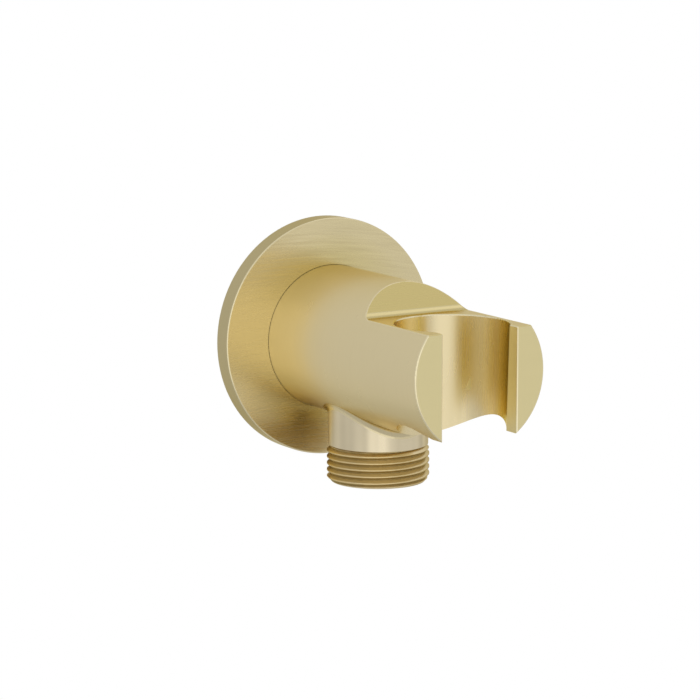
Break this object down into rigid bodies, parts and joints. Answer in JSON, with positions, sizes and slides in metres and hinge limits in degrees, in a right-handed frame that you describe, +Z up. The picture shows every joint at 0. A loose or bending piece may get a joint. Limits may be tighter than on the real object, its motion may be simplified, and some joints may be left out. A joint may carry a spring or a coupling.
{
  "type": "wall outlet elbow",
  "caption": "Wall outlet elbow with a round wall flange, a downward threaded hose outlet and a slotted conical cradle for a hand shower.",
  "frame": {"origin": "on the barrel's axis where it meets the wall plane, in the middle of the wall flange's back face", "axes": "+Z up, +Y into the wall along the inlet thread, the barrel stands out along -Y and the hose outlet points along -Z"},
  "size_m": [0.0496, 0.074, 0.0519],
  "materials": {
    "brushed_gold": "fine brushed gold coating on brass",
    "foam_rubber": "matt closed-cell foam",
    "seal_rubber": "smooth black rubber",
    "valve_plastic": "moulded off-white plastic",
    "spring_steel": "drawn stainless wire"
  },
  "bodies": {
    "elbow": {"elbow_body": "brushed_gold", "wall_flange": "brushed_gold", "wall_gasket": "foam_rubber", "flange_o_ring": "seal_rubber", "valve_housing": "valve_plastic", "valve_o_ring": "seal_rubber", "valve_spring": "spring_steel"},
    "poppet": {"valve_poppet": "valve_plastic", "poppet_seal": "seal_rubber"}
  },
  "joints": [
    {"name": "poppet_lift", "type": "slide", "parent": "elbow", "child": "poppet", "axis": [0, 0, -1], "range_m": [0, 0.002], "stiffness_N_per_m": 100, "springref_m": -0.0018, "deforming": ["valve_spring"]}
  ]
}
